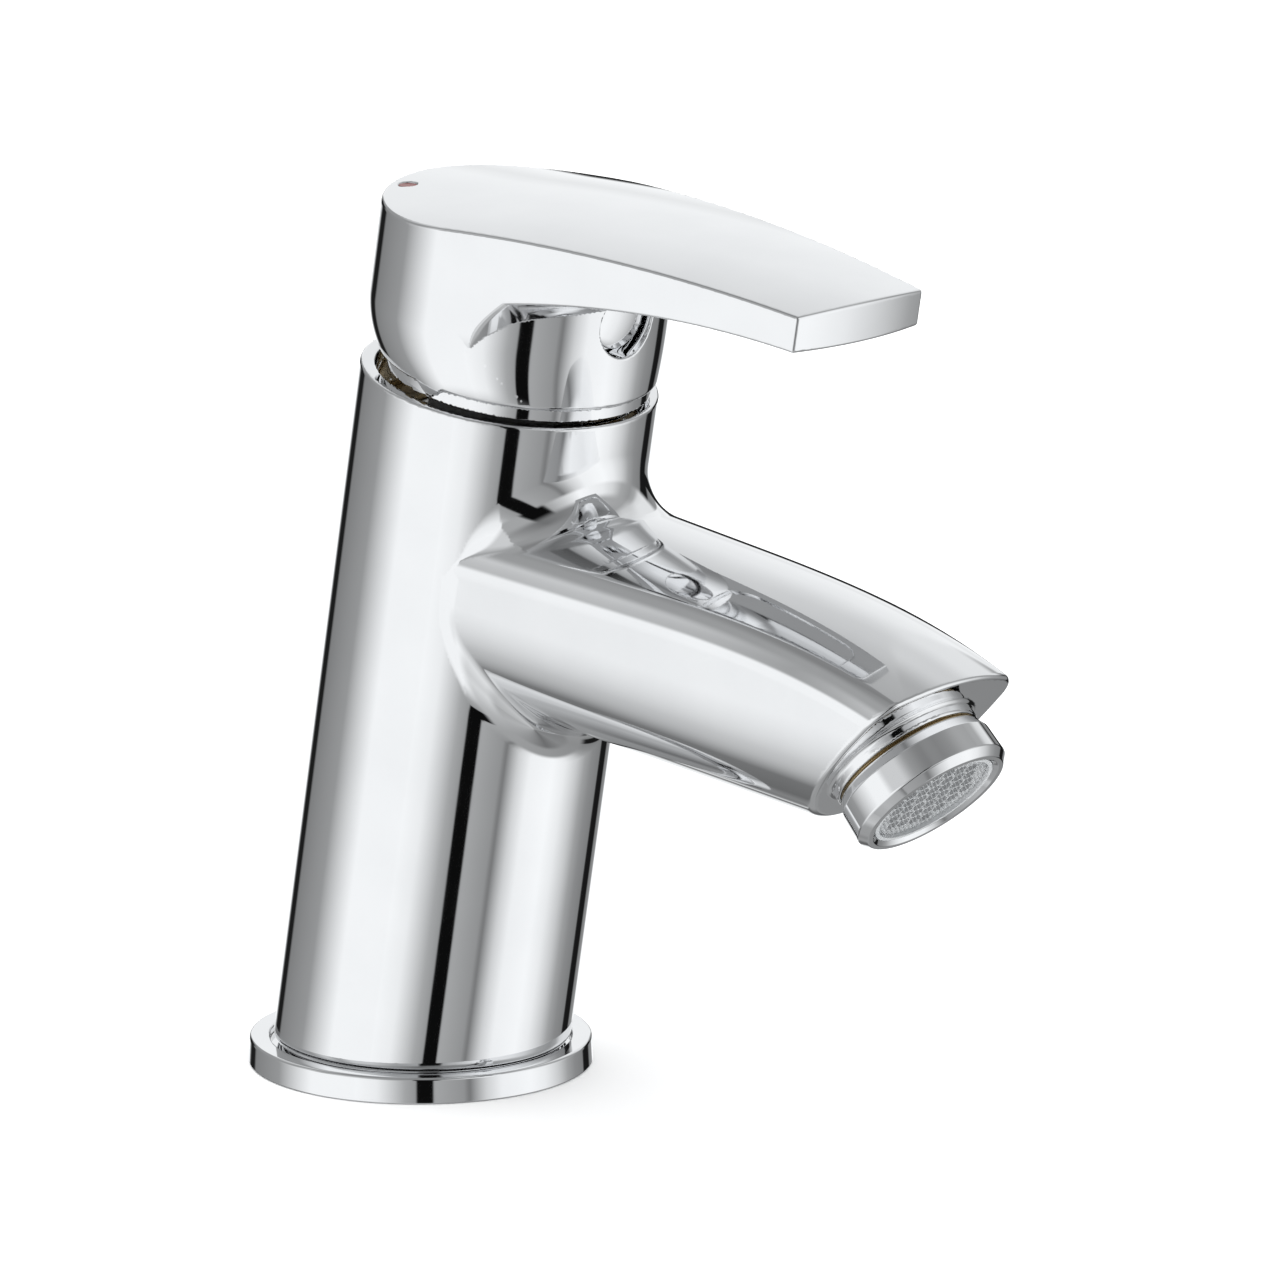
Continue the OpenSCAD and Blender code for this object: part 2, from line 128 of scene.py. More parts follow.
# The spout's top falls evenly, then in a curve from SPOUT_BEND_Y on; its belly is half an ellipse
SPOUT_BEND_Y = -53
SPOUT_TOP_Z = 86.1
SPOUT_FALL = 0.12
SPOUT_BEND = 0.00004
SPOUT_CROWN = 0.0195
SPOUT_ROUND = 3.0
SPOUT_FILLET = 7.0
SPOUT_BACK_Y = -18
FILLET_FADE_Y = -20
FILLET_FADE_L = 5
SPOUT_HALF = 18
SPOUT_HALF_Y = -36
SPOUT_TAPER = 3.9 / 66
BELLY_H = 18.0
BELLY_FOOT_Z = 54.4
BELLY_FOOT_Y = -46
BELLY_RISE = 0.1
NOSE_ROUND = 0.7
COLLAR_ROUND = 0.35
COLLAR_FILLET = 0.7

SEAT_H = 72.0
CARTRIDGE_BORE_R = 17.6
THREAD_H = 92.8
THREAD_R = 18.95
RECESS_H = 99.5
SKIRT_BORE_R = 17.5
BORE_START_Z = 20
CHANNEL_R = 3.4
PORT_ACROSS = -9
PORT_L = 9
WATERWAY_R = 5.0
WATERWAY_Y = -22
WATERWAY_Z = 63
WATERWAY_END_Y = -84
WATERWAY_SLOPE = 0.0524


# ---------------------------------------------------------------- sizes of the lever, in millimetres

LIP_H = 106.4
LIP_R = 19.0
LIP_OFFSET = 1.6
SKIRT_H = 108.2
SKIRT_ROUND = 0.7
SKIRT_CURL_H = 116.5
SKIRT_CURL_R = 13.0
CAVITY_R = 17.3
CEILING_H = 121.0
BLOCK_HALF = 7
BLOCK_H = 116.4
STEM_HALF = 4.05
STEM_END_H = 128.8
GRUB_R = 2.55
CAP_H = 120.8
CAP_HOLE_R = 5.2
CAP_FLOOR = 17.6

# The top falls by the square of the distance past TOP_BEND_Y over TOP_FALL, and is slightly crowned across
TOP_BEND_Y = -18
TOP_FALL = 705
CROWN = 0.0045
BLADE_HALF_ROOT = 21.55
BLADE_HALF_TIP = 12.8
BLADE_WAIST = 1.0
BLADE_START = 3.2
TIP_BOW = 1.2
# Below FLANK_Z the blade's flank leans in
FLANK_Z = 118
FLANK_LEAN = 0.03
# The lower edge is an arch about ARCH_Y, which dives into the drum's side from DIVE_Y back
ARCH_Z = 121.3
ARCH_Y = -58
ARCH_FALL = 338
DIVE_Y = -37
DIVE = 0.042
COVE = 2.8
POCKET_WALL = 4.0
POCKET_START = 44
POCKET_END = 79
POCKET_DEPTH = 1.6
POCKET_ROUND = 6.0


# ---------------------------------------------------------------- signed distances

def union(*shapes):
    """Union of any number of solids."""
    result = shapes[0]
    for shape in shapes[1:]:
        result = np.minimum(result, shape)
    return result


def round_union(a, b, radius):
    """Union of two solids with a circular fillet where they meet."""
    near = np.hypot(np.maximum(radius - a, 0), np.maximum(radius - b, 0))
    return np.maximum(radius, np.minimum(a, b)) - near


def round_meet(a, b, radius):
    """Intersection of two solids with a rounded edge where they meet."""
    near = np.hypot(np.maximum(a + radius, 0), np.maximum(b + radius, 0))
    return np.minimum(-radius, np.maximum(a, b)) + near


def oblique_union(a, b, radius, cosine):
    """Union with a circular fillet, for surfaces whose normals meet at an angle with this cosine."""
    cosine = np.clip(cosine, -0.5, 0.98)
    below_a, below_b = a - radius, b - radius
    inside = (below_a < cosine * below_b) & (below_b < cosine * below_a)
    square = (below_a ** 2 + below_b ** 2 - 2 * cosine * below_a * below_b) / (1 - cosine ** 2)
    return np.where(inside, radius - np.sqrt(np.maximum(square, 0)), np.minimum(a, b))


def chamfer_union(a, b, size):
    """Union of two solids with a flat 45 degree cove where they meet."""
    return union(a, b, (a + b - size) * COS_45)


def leaning(y, z):
    """Coordinates across and along the body's leaning axis."""
    return (y - FOOT_Y) * COS + z * SIN, z * COS - (y - FOOT_Y) * SIN


def outlet_frame(y, z):
    """Coordinates across and along the outlet's axis; 0 along it is the nose's cut face."""
    across = (y - OUTLET_Y) * COS_45 - (z - OUTLET_Z) * COS_45
    along = -(y - OUTLET_Y) * COS_45 - (z - OUTLET_Z) * COS_45 + NOSE_BACK
    return across, along


def slot_between(along, start, end):
    """Distance past the ends of a stretch from start to end."""
    return np.maximum(start - along, along - end)


def spout_top(y):
    """Height of the middle of the spout's top."""
    s = SPOUT_BEND_Y - y
    return SPOUT_TOP_Z - SPOUT_FALL * s - SPOUT_BEND * np.maximum(s, 0) * s * s


def spout_half_width(y):
    return SPOUT_HALF - SPOUT_TAPER * (SPOUT_HALF_Y - y)


def spout(x, y, z):
    """The spout before its nose is bored: crowned top, straight cheeks and a full elliptical underside."""
    half = spout_half_width(y)
    belly_z = BELLY_FOOT_Z + BELLY_RISE * (y - BELLY_FOOT_Y) + BELLY_H
    drop = np.minimum(z - belly_z, 0) / BELLY_H
    side = x / half
    ring = np.maximum(np.hypot(side, drop), 0.05)
    steep = np.hypot(side / half, drop / BELLY_H) / ring
    cheeks = (ring - 1) / np.maximum(steep, 1e-3)
    slope = SPOUT_FALL + 3 * SPOUT_BEND * np.maximum(SPOUT_BEND_Y - y, 0) ** 2
    top = (z - spout_top(y) + SPOUT_CROWN * x * x) / np.sqrt(1 + slope * slope + (2 * SPOUT_CROWN * x) ** 2)
    blank = round_meet(cheeks, top, SPOUT_ROUND)
    nose = outlet_frame(y, z)[1]
    return np.maximum(round_meet(blank, nose, NOSE_ROUND), y - SPOUT_BACK_Y)


def body_bores(x, y, z):
    """Everything bored out of the body: cartridge seat, its thread, skirt, sockets and waterways."""
    across, along = leaning(y, z)
    rho = np.hypot(x, across)
    seat = np.maximum(rho - CARTRIDGE_BORE_R, SEAT_H - along)
    thread = np.maximum(rho - THREAD_R, THREAD_H - along)
    skirt = np.maximum(rho - SKIRT_BORE_R, z - SOCKET_Z)
    inlet = np.hypot(np.abs(x) - INLET_X, y - INLET_Y)
    socket = np.maximum(inlet - INLET_R, slot_between(z, BORE_START_Z, SOCKET_Z + INLET_L))
    channel = np.maximum(inlet - CHANNEL_R, slot_between(z, BORE_START_Z, SEAT_H - 1))
    stud = np.maximum(np.hypot(x, y - STUD_Y) - STUD_R, slot_between(z, BORE_START_Z, SOCKET_Z + STUD_L))
    from_port = np.hypot(x, across - PORT_ACROSS)
    port = np.maximum(from_port - CHANNEL_R, slot_between(along, SEAT_H - PORT_L, SEAT_H + 1))
    from_waterway = np.hypot(x, z - WATERWAY_Z - WATERWAY_SLOPE * (y - WATERWAY_Y))
    waterway = np.maximum(from_waterway - WATERWAY_R, slot_between(-y, -WATERWAY_Y, -WATERWAY_END_Y))
    out_across, out_along = outlet_frame(y, z)
    nozzle = np.maximum(np.hypot(x, out_across) - NOZZLE_R, slot_between(out_along, NOZZLE_BACK, NOSE_BACK))
    return union(seat, thread, skirt, socket, channel, stud, port, waterway, nozzle)


def body_shape(x, y, z):
    """The body casting: leaning tube, spout with a filleted root, outlet collar and recess under the rim."""
    across, along = leaning(y, z)
    rho = np.hypot(x, across)
    tube = round_meet(rho - BODY_R, FOOT_Z - z, FOOT_ROUND)
    beak = spout(x, y, z)
    # The cosine between the two normals is how fast the spout's distance grows along the tube's normal
    step = 0.05
    ahead = spout(x * (1 + step / rho), y + step * across * COS / rho, z + step * across * SIN / rho)
    fillet = SPOUT_FILLET * np.clip((FILLET_FADE_Y - y) / FILLET_FADE_L, 0.01, 1)
    solid = oblique_union(tube, beak, fillet, (ahead - beak) / step)
    solid = round_meet(solid, along - RIM_H, RIM_ROUND)
    out_across, out_along = outlet_frame(y, z)
    collar = round_meet(np.hypot(x, out_across) - COLLAR_R, out_along - COLLAR_L, COLLAR_ROUND)
    solid = round_union(solid, np.maximum(collar, -3 - out_along), COLLAR_FILLET)
    recess = np.maximum(rho - RECESS_R, RECESS_H - along)
    solid = round_meet(solid, -recess, RIM_ROUND)
    return np.maximum(solid, -body_bores(x, y, z))


def lever_top(y):
    """Height of the middle of the lever's top."""
    return LEVER_TOP - np.maximum(0, TOP_BEND_Y - y) ** 2 / TOP_FALL


BLADE_L = -leaning(LEVER_TIP, lever_top(LEVER_TIP))[0] - TIP_BOW


def lever_half_width(ahead):
    """Half of the blade's width at a distance in front of the leaning axis: a slightly waisted taper."""
    u = ahead / BLADE_L
    return BLADE_HALF_ROOT - (BLADE_HALF_ROOT - BLADE_HALF_TIP) * u - BLADE_WAIST * u * (1 - u)


def lever_cavity(x, y, z):
    """What is hollowed out of the lever: drum's cavity, stem's socket, screw's and cap's holes, hot mark."""
    across, along = leaning(y, z)
    rho = np.hypot(x, across)
    room = np.maximum(rho - CAVITY_R, slot_between(along, LIP_H + 3, CEILING_H))
    mouth = np.maximum(np.hypot(x, across + LIP_OFFSET) - CAVITY_R, slot_between(along, LIP_H - 2, LIP_H + 5))
    block = np.maximum(np.maximum(np.abs(x) - BLOCK_HALF, slot_between(across, -20, -4.2)), BLOCK_H - along)
    hollow = np.maximum(np.minimum(room, mouth), -block)
    square = np.maximum(np.abs(x), np.abs(across)) - STEM_HALF
    stem = np.maximum(square, slot_between(along, PIVOT_H, STEM_END_H))
    from_cap = np.hypot(x, along - CAP_H)
    grub = np.maximum(from_cap - GRUB_R, slot_between(-across, 0, 30))
    cap = np.maximum(from_cap - CAP_HOLE_R, slot_between(-across, CAP_FLOOR, 30))
    mark = np.maximum(np.hypot(x - DOT_X, y - DOT_Y) - DOT_R, slot_between(z, DOT_FLOOR, LEVER_TOP + 5))
    return union(hollow, stem, grub, cap, mark)


def lever_shape(x, y, z):
    """The lever: a round drum with a blade that tapers forward from it, and a lip inside the body's rim."""
    across, along = leaning(y, z)
    top_slope = 2 * np.maximum(0, TOP_BEND_Y - y) / TOP_FALL
    top = (z - lever_top(y) + CROWN * x * x) / np.sqrt(1 + top_slope ** 2 + (2 * CROWN * x) ** 2)
    # The drum's side is straight in front and curls inwards at the back, which swings down as the lever lifts
    below = np.clip(SKIRT_CURL_H - along, 0, SKIRT_CURL_R - 0.5)
    curl = SKIRT_CURL_R - np.sqrt(SKIRT_CURL_R ** 2 - below ** 2)
    side = np.hypot(x, across + curl / 2) - (DRUM_R - curl / 2)
    drum = round_meet(side, SKIRT_H - along, SKIRT_ROUND)
    # The blade's outline runs on from the drum's circle
    half = lever_half_width(-across)
    u = -across / BLADE_L
    taper = (BLADE_HALF_ROOT - BLADE_HALF_TIP + BLADE_WAIST * (1 - 2 * u)) / BLADE_L
    # Low down the flank leans in, so that it fades into the drum's side
    lean_in = FLANK_LEAN * np.maximum(0, FLANK_Z - z) ** 2
    outline = np.maximum((np.abs(x) - half + lean_in) / np.hypot(1, taper), across + BLADE_START)
    plan = np.minimum(side, outline)
    bow = TIP_BOW * (1 - (x / BLADE_HALF_TIP) ** 2)
    tip = -across - BLADE_L - bow
    # Under the blade: an arched lower edge that dives into the drum's side, and a shallow pocket
    dive = np.maximum(0, y - DIVE_Y)
    under_z = ARCH_Z - (y - ARCH_Y) ** 2 / ARCH_FALL - DIVE * dive ** 2
    under_slope = -2 * (y - ARCH_Y) / ARCH_FALL - 2 * DIVE * dive
    under = np.maximum((under_z - z) / np.sqrt(1 + under_slope ** 2), across + BLADE_START)
    pocket_end = slot_between(-y, POCKET_START, POCKET_END)
    pocket = round_meet(np.abs(x) - half + POCKET_WALL, pocket_end, POCKET_ROUND)
    pocket = np.maximum(pocket, z - under_z - POCKET_DEPTH)
    under = round_meet(under, -pocket, 0.4)
    lower = chamfer_union(drum, under, COVE)
    # The lower edge is rounded where the blade stands proud of the drum, and fades out where it joins it
    proud = np.clip(np.hypot(x, across) - DRUM_R - plan, 0, 1)
    solid = round_meet(round_meet(plan, tip, 0.4), lower, 0.5 * proud)
    solid = round_meet(solid, top, 0.45)
    lip = np.maximum(np.hypot(x, across + LIP_OFFSET) - LIP_R, slot_between(along, LIP_H, SKIRT_H + 2))
    solid = np.minimum(solid, lip)
    return round_meet(solid, -lever_cavity(x, y, z), 0.3)


# ---------------------------------------------------------------- meshing

def gradient(shape, points, step=0.02):
    """Slope of the shape's distance at the points, which is nearly its unit normal on the surface."""
    result = np.empty_like(points)
    for axis in range(3):
        ahead = points.copy()
        behind = points.copy()
        ahead[:, axis] += step
        behind[:, axis] -= step
        result[:, axis] = (shape(*ahead.T) - shape(*behind.T)) / (2 * step)
    return result


def settle(shape, points, rounds=2):
    """Moves points onto the shape's surface."""
    for _ in range(rounds):
        slope = gradient(shape, points)
        size = np.maximum((slope ** 2).sum(1), 0.1)
        step = np.clip(shape(*points.T) / size, -0.5, 0.5)
        points = points - slope * step[:, None]
    return points


def surface_net(shape, lowest, highest, cell):
    """Points and quads on the surface where shape is zero, from a grid of cells in small blocks near it."""
    block = 8
    start = np.array(lowest, float)
    size = block * cell
    counts = np.ceil((np.array(highest) - start) / size).astype(int)
    blocks = np.stack(np.meshgrid(*[np.arange(n) for n in counts], indexing="ij"), -1).reshape(-1, 3)
    centres = start + (blocks + 0.5) * size
    blocks = blocks[np.abs(shape(*centres.T)) < 1.8 * size * math.sqrt(0.75)]
    nodes = np.stack(np.meshgrid(*[np.arange(block + 1)] * 3, indexing="ij"), -1).reshape(-1, 3)
    span = counts * block + 2
    points, keys, quads = [], [], []
    for part in np.array_split(blocks, max(1, len(blocks) // 400)):
        index = part[:, None, :] * block + nodes[None]
        place = start + index * cell
        value = shape(place[..., 0], place[..., 1], place[..., 2])
        value = value.reshape(-1, block + 1, block + 1, block + 1)
        inside = value < 0
        count = np.zeros((len(part), block, block, block))
        total = np.zeros((len(part), block, block, block, 3))
        for axis in range(3):
            others = [(axis + 1) % 3, (axis + 2) % 3]
            first = np.take(value, range(block), axis + 1)
            last = np.take(value, range(1, block + 1), axis + 1)
            crossed = (first < 0) != (last < 0)
            share = np.where(crossed, first / np.where(crossed, first - last, 1), 0)
            for da in (0, 1):
                for db in (0, 1):
                    cut, part_share = crossed, share
                    for other, shift in zip(others, (da, db)):
                        cut = np.take(cut, range(shift, shift + block), other + 1)
                        part_share = np.take(part_share, range(shift, shift + block), other + 1)
                    count += cut
                    total[..., axis] += part_share * cut
                    total[..., others[0]] += da * cut
                    total[..., others[1]] += db * cut
            base = crossed
            for other in others:
                base = np.take(base, range(block), other + 1)
            where = np.argwhere(base)
            corner = part[where[:, 0]] * block + where[:, 1:]
            starts_inside = inside[where[:, 0], where[:, 1], where[:, 2], where[:, 3]]
            ring = np.repeat(corner[:, None, :], 4, axis=1)
            ring[:, [0, 3], others[0]] -= 1
            ring[:, [0, 1], others[1]] -= 1
            ring[~starts_inside] = ring[~starts_inside][:, ::-1]
            quads.append(ring + 1)
        live = count > 0
        where = np.argwhere(live)
        cells = part[where[:, 0]] * block + where[:, 1:]
        points.append(start + (cells + total[live] / count[live][:, None]) * cell)
        keys.append(cells + 1)
    flat = np.array([span[1] * span[2], span[2], 1])
    keys = np.concatenate(keys) @ flat
    points = np.concatenate(points)
    keys, chosen = np.unique(keys, return_index=True)
    points = points[chosen]
    wanted = np.concatenate(quads) @ flat
    quads = np.searchsorted(keys, wanted)
    quads = np.minimum(quads, len(keys) - 1)
    whole = (keys[quads] == wanted).all(1)
    return points, quads[whole]


def relax(shape, points, quads, rounds):
    """Evens out the points along the surface."""
    edges = np.concatenate([quads[:, [i, (i + 1) % 4]] for i in range(4)])
    count = np.bincount(edges[:, 0], minlength=len(points)) + np.bincount(edges[:, 1], minlength=len(points))
    for _ in range(rounds):
        mean = np.empty_like(points)
        for axis in range(3):
            total = np.bincount(edges[:, 0], points[edges[:, 1], axis], len(points))
            total += np.bincount(edges[:, 1], points[edges[:, 0], axis], len(points))
            mean[:, axis] = total / np.maximum(count, 1)
        points = settle(shape, points + 0.6 * (mean - points), 1)
    return points


def new_object(name, mesh):
    piece = bpy.data.objects.new(name, mesh)
    bpy.context.scene.collection.objects.link(piece)
    return piece


def carve(name, shape, lowest, highest, cell, triangles):
    """A piece whose surface is where shape is zero, thinned to a number of triangles, with exact normals."""
    cell = cell
    points, quads = surface_net(shape, lowest, highest, cell)
    points = relax(shape, settle(shape, points), quads, 3)
    raw = bpy.data.meshes.new(name)
    raw.from_pydata(points, [], quads.tolist())
    piece = new_object(name, raw)
    thin = piece.modifiers.new("thin", "DECIMATE")
    thin.ratio = min(1.0, triangles / (2 * len(quads)))
    evaluated = piece.evaluated_get(bpy.context.evaluated_depsgraph_get())
    mesh = bpy.data.meshes.new_from_object(evaluated)
    piece.modifiers.clear()
    piece.data = mesh
    bpy.data.meshes.remove(raw)
    mesh.name = name
    corners = np.empty(len(mesh.vertices) * 3)
    mesh.vertices.foreach_get("co", corners)
    corners = settle(shape, corners.reshape(-1, 3), 3)
    normals = gradient(shape, corners)
    normals /= np.maximum(np.linalg.norm(normals, axis=1), 1e-9)[:, None]
    finish_mesh(mesh, corners * MM, normals)
    return piece


def finish_mesh(mesh, corners, normals):
    """Puts the corners in place and shades the mesh by the given normals."""
    mesh.vertices.foreach_set("co", corners.ravel())
    mesh.update()
    mesh.shade_smooth()
    mesh.normals_split_custom_set_from_vertices(normals)
    mesh.update()


# ---------------------------------------------------------------- turned pieces

def rounded_profile(corners, steps=5):
    """Points and normals along a profile whose corners (radius, height, fillet) are rounded. It runs with the
    solid on its left."""
    samples = []
    count = len(corners)
    for i, (r, z, fillet) in enumerate(corners):
        here = np.array([r, z])
        before = np.array(corners[i - 1][:2])
        after = np.array(corners[(i + 1) % count][:2])
        u = (here - before) / np.linalg.norm(here - before)
        v = (after - here) / np.linalg.norm(after - here)
        turn = math.atan2(u[0] * v[1] - u[1] * v[0], u @ v)
        side = math.copysign(1, turn)
        reach = fillet * math.tan(abs(turn) / 2)
        normal = np.array([u[1], -u[0]])
        centre = here - u * reach - normal * fillet * side
        pieces = steps if fillet > 0 else 0
        for k in range(pieces + 1):
            share = k / pieces if pieces else 0.5
            c, s = math.cos(turn * share), math.sin(turn * share)
            n = np.array([c * normal[0] - s * normal[1], s * normal[0] + c * normal[1]])
            samples.append((*(centre + n * fillet * side), *n))
    return samples


def axis_frame(origin, axis):
    """Matrix of a frame whose Z runs along axis and whose X is the tap's X."""
    z = Vector(axis).normalized()
    x = Vector((1, 0, 0))
    y = z.cross(x)
    turn = Matrix((x, y, z)).transposed().to_4x4()
    return Matrix.Translation(Vector(origin) * MM) @ turn


def ring_grid(segments, rings):
    """Quads that join a closed loop of segments, each with a closed loop of rings, and each quad's ring."""
    i, j = np.meshgrid(np.arange(segments), np.arange(rings), indexing="ij")
    ahead, along = (i + 1) % segments, (j + 1) % rings
    quads = np.stack([i * rings + j, ahead * rings + j, ahead * rings + along, i * rings + along], -1)
    return quads.reshape(-1, 4), j.ravel()


def revolve(name, samples, place, segments=192, solid=False):
    """A ring turned from a closed profile of (radius, height, normal) samples about the frame's Z axis. A
    solid's profile starts and ends by the axis, and its two ends are closed."""
    samples = np.array(samples)
    rings = len(samples)
    angle = np.arange(segments) * 2 * math.pi / segments
    c, s = np.cos(angle)[:, None], np.sin(angle)[:, None]
    points = np.stack([samples[:, 0] * c, samples[:, 0] * s, np.tile(samples[:, 1], (segments, 1))], -1)
    normals = np.stack([samples[:, 2] * c, samples[:, 2] * s, np.tile(samples[:, 3], (segments, 1))], -1)
    quads, ring = ring_grid(segments, rings)
    faces = quads.tolist()
    if solid:
        start = np.arange(segments) * rings
        end = start + rings - 1
        faces = quads[ring < rings - 1].tolist() + [start[::-1].tolist(), end.tolist()]
    mesh = bpy.data.meshes.new(name)
    mesh.from_pydata(points.reshape(-1, 3) * MM, [], faces)
    finish_mesh(mesh, points.reshape(-1, 3) * MM, normals.reshape(-1, 3))
    piece = new_object(name, mesh)
    piece.matrix_world = place
    return piece


ON_DECK = axis_frame((0, 0, 0), (0, 0, 1))
OUTLET_AXIS = Vector((0, -COS_45, -COS_45))
ON_OUTLET = axis_frame(Vector((0, OUTLET_Y, OUTLET_Z)) - OUTLET_AXIS * NOSE_BACK, OUTLET_AXIS)
CAP_ORIGIN = (0, FOOT_Y - CAP_H * SIN, CAP_H * COS)
ON_CAP = axis_frame(CAP_ORIGIN, (0, -COS, -SIN))


def plinth():
    """The base ring: a crisp polished edge, a flat land and a shallow seat that the body's foot stands in."""
    hole_r, groove_r, groove_end_r, groove_h = 17.4, 19.4, 23.2, 1.4
    seat_r = BODY_R + 0.5
    return revolve("base_ring", rounded_profile([
        (hole_r, 0.0, 0.3), (groove_r, 0.0, 0.05), (groove_r, groove_h, 0.05),
        (groove_end_r, groove_h, 0.05), (groove_end_r, 0.0, 0.05),
        (PLINTH_R, 0.0, 0.25), (PLINTH_R - 0.2, PLINTH_T, 0.5),
        (seat_r, PLINTH_T, 0.35), (seat_r, FOOT_Z, 0.2), (hole_r, FOOT_Z, 0.2)]), ON_DECK, 256)


def aerator():
    """The aerator's ring, screwed over the nipple: rounded shoulder, straight wall and chamfered mouth."""
    thread_r, thread_end = NIPPLE_R + 0.08, NECK_GAP + 2.0
    bore_r, mouth_r = 10.6, 9.6
    return revolve("aerator_ring", rounded_profile([
        (thread_r, NECK_GAP, 0.25), (thread_r, thread_end, 0.1), (bore_r, thread_end, 0.1),
        (bore_r, NOSE_BACK - 1.0, 0.1), (mouth_r, NOSE_BACK - 1.0, 0.1),
        (mouth_r, NOSE_BACK - 0.55, 0.15), (mouth_r + 0.55, NOSE_BACK, 0.25),
        (mouth_r + 1.35, NOSE_BACK, 0.35), (AERATOR_R, NOSE_BACK - 1.2, 0.5),
        (AERATOR_R - 0.15, NECK_GAP + 1.5, 0.5), (AERATOR_R - 0.9, NECK_GAP, 0.5)][::-1]), ON_OUTLET, 192)


def gauze():
    """The woven steel gauze in the aerator's mouth: wavy wires crossing over and under."""
    pitch, wire_r = 0.44, 0.1
    disc_r = (high("aerator_gauze", 0) - low("aerator_gauze", 0)) / 2 - 0.02
    middle = NOSE_BACK - 1.2
    sides = 6
    turn = np.arange(sides) * 2 * math.pi / sides
    points, faces = [], []
    lines = int(disc_r / pitch)
    for row in range(-lines, lines + 1):
        reach = math.sqrt(disc_r ** 2 - (row * pitch) ** 2)
        count = max(4, int(2 * reach / pitch * 2))
        run = np.linspace(-reach, reach, count)
        wave = wire_r * np.cos(run / pitch * math.pi) * (-1) ** row
        for warp in (1, -1):
            height = middle + warp * wave
            ring = np.stack([
                np.repeat(run[:, None], sides, 1),
                row * pitch + wire_r * np.cos(turn)[None] + np.zeros((count, 1)),
                height[:, None] + wire_r * np.sin(turn)[None]], -1)
            if warp < 0:
                ring = ring[..., [1, 0, 2]][:, ::-1]
            start = sum(len(block) for block in points)
            points.append(ring.reshape(-1, 3))
            i, j = np.meshgrid(np.arange(count - 1), np.arange(sides), indexing="ij")
            beside = (j + 1) % sides
            here, ahead = i * sides, (i + 1) * sides
            quads = np.stack([here + j, ahead + j, ahead + beside, here + beside], -1)
            faces += (quads.reshape(-1, 4)[:, ::-1] + start).tolist()
            first = (start + np.arange(sides)).tolist()
            last = (start + (count - 1) * sides + np.arange(sides)).tolist()
            faces += [first[::-1], last]
    mesh = bpy.data.meshes.new("gauze_weave")
    mesh.from_pydata(np.concatenate(points) * MM, [], faces)
    mesh.shade_smooth()
    piece = new_object("gauze_weave", mesh)
    piece.matrix_world = ON_OUTLET
    return piece


def outlet_thread():
    """The spout's brass nipple, with its M22x1 thread."""
    pitch, depth, root_h, tip_h = 1.0, 0.55, 1.0, NECK_GAP + 2.9
    segments, per_turn = 160, 8
    heights = np.arange(root_h, tip_h, pitch / per_turn)
    angle = np.arange(segments) * 2 * math.pi / segments
    phase = (heights[None, :] / pitch - angle[:, None] / (2 * math.pi)) % 1
    crest = 1 - np.abs(2 * phase - 1)
    outer = NIPPLE_R - depth * np.clip(1.3 * crest - 0.15, 0, 1)
    inner = np.full((segments, 2), NOZZLE_R + 0.03)
    radius = np.concatenate([outer, inner], 1)
    height = np.tile(np.concatenate([heights, [heights[-1], root_h]]), (segments, 1))
    points = np.stack([radius * np.cos(angle)[:, None], radius * np.sin(angle)[:, None], height], -1)
    quads = ring_grid(segments, radius.shape[1])[0]
    mesh = bpy.data.meshes.new("outlet_thread")
    mesh.from_pydata(points.reshape(-1, 3) * MM, [], quads.tolist())
    mesh.shade_smooth()
    piece = new_object("outlet_thread", mesh)
    piece.matrix_world = ON_OUTLET
    return piece


def cap():
    """The cap over the grub screw: a gently domed face with a rounded edge, on a short spigot."""
    face_r, rise, spigot_r, spigot_l, pole_r = 4.5, 0.5, 2.4, 4, 0.02
    top, back, steps = CAP_FLOOR + 2.2, CAP_FLOOR + 0.02, 8
    profile = [(pole_r, top, 0.0)]
    profile += [(face_r * k / steps, top - rise * (k / steps) ** 2, 0.0) for k in range(1, steps)]
    profile += [(face_r, top - rise, 0.35), (face_r, back, 0.1), (spigot_r, back, 0.1)]
    profile += [(spigot_r, CAP_FLOOR - spigot_l, 0.2), (pole_r, CAP_FLOOR - spigot_l, 0.0)]
    return revolve("cap_button", rounded_profile(profile[::-1])[1:-1], ON_CAP, 128, solid=True)


# ---------------------------------------------------------------- materials

def mix_tree(name):
    material = bpy.data.materials.new(name)
    material.use_nodes = True
    tree = material.node_tree
    return material, tree, tree.nodes["Principled BSDF"]


def noise(tree, scale, detail=3.0):
    place = tree.nodes.new("ShaderNodeTexCoord")
    node = tree.nodes.new("ShaderNodeTexNoise")
    node.inputs["Scale"].default_value = scale
    node.inputs["Detail"].default_value = detail
    tree.links.new(place.outputs["Object"], node.inputs["Vector"])
    return node.outputs["Fac"]


def ramp(tree, value, stops):
    """A colour ramp through stops of (position, colour)."""
    node = tree.nodes.new("ShaderNodeValToRGB")
    elements = node.color_ramp.elements
    while len(elements) < len(stops):
        elements.new(0.5)
    for element, (position, colour) in zip(elements, stops):
        element.position = position
        element.color = (*colour, 1.0)
    tree.links.new(value, node.inputs["Fac"])
    return node.outputs["Color"]


def spread(tree, value, lowest, highest):
    """The value, which lies round the middle of 0 to 1, spread over a range."""
    node = tree.nodes.new("ShaderNodeMapRange")
    node.inputs["From Min"].default_value = 0.3
    node.inputs["From Max"].default_value = 0.7
    node.inputs["To Min"].default_value = lowest
    node.inputs["To Max"].default_value = highest
    tree.links.new(value, node.inputs["Value"])
    return node.outputs["Result"]


